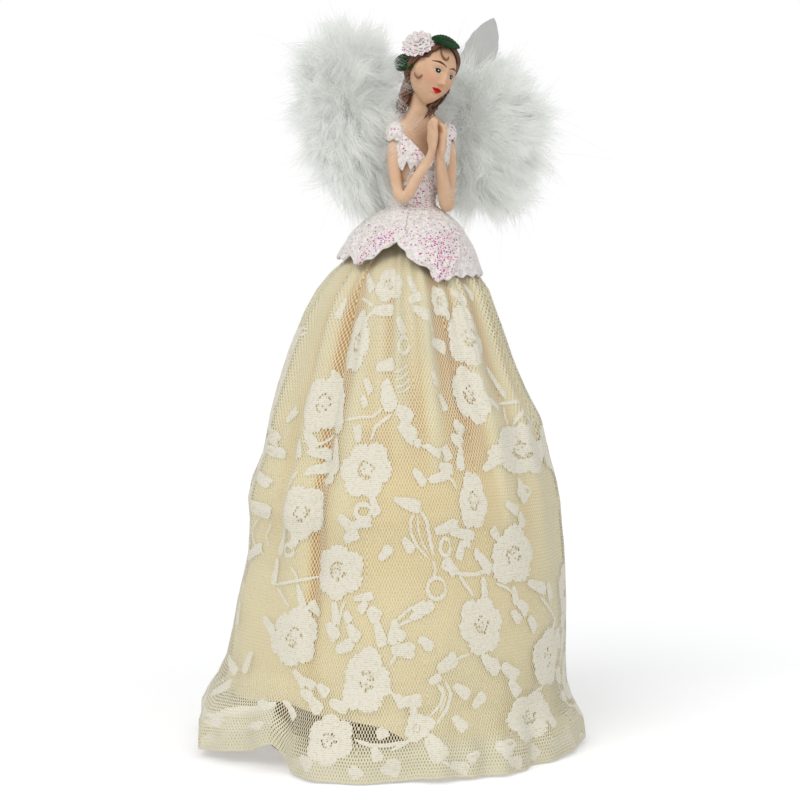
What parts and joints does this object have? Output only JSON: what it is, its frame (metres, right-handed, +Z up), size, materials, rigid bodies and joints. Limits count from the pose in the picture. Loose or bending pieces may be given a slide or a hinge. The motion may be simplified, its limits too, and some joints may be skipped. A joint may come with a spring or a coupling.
{
  "type": "angel tree topper",
  "caption": "Angel figure with praying hands, feather wings and petal peplum on a lace gown over a hollow cone that fits over a tree's tip; the wings fold back.",
  "frame": {"origin": "centre of the gown's hem on the surface that the topper stands on", "axes": "+Z up; the angel faces -Y and her left hand side is +X"},
  "size_m": [0.229, 0.2228, 0.4059],
  "materials": {
    "card": "plain rolled card",
    "wood": "bare turned wood",
    "net": "stiffened net",
    "satin": "satin, soft sheen",
    "lace": "cream floral lace",
    "cord": "twisted thread",
    "glitter": "pink and white iridescent glitter on stiffened cloth",
    "skin": "matt painted resin",
    "hair": "painted resin",
    "leaf": "satin painted resin",
    "felt": "felt over card",
    "wire": "drawn wire",
    "quill": "stiff smooth feather",
    "fluff": "loose marabou down"
  },
  "bodies": {
    "root": {"cone_core": "card", "top_plug": "wood", "waist_peg": "wood", "petticoat": "net", "satin_lining": "satin", "lace_skirt": "lace", "gathering_cord": "cord", "torso": "skin", "bodice": "glitter", "right_sleeve": "glitter", "left_sleeve": "glitter", "right_arm": "skin", "left_arm": "skin", "head": "skin", "hair": "hair", "head_flower": "glitter", "flower_centre": "glitter", "head_leaf_front": "leaf", "head_leaf_side": "leaf", "peplum_petal_front": "glitter", "peplum_petal_left": "glitter", "peplum_petal_back_left": "glitter", "peplum_petal_back_right": "glitter", "peplum_petal_right": "glitter", "wing_mount": "felt"},
    "right_wing": {"right_wing_stem": "wire", "right_wing_blade": "quill", "right_wing_front_fluff": "fluff", "right_wing_back_fluff": "fluff"},
    "left_wing": {"left_wing_stem": "wire", "left_wing_blade": "quill", "left_wing_front_fluff": "fluff", "left_wing_back_fluff": "fluff"}
  },
  "joints": [
    {"name": "right_wing_fold", "type": "hinge", "parent": "root", "child": "right_wing", "pos_m": [-0.00365, 0.013, 0.3203], "axis": [0, 0, -1], "range_deg": [0, 60]},
    {"name": "left_wing_fold", "type": "hinge", "parent": "root", "child": "left_wing", "pos_m": [0.01235, 0.013, 0.3203], "axis": [0, 0, 1], "range_deg": [0, 60]}
  ]
}
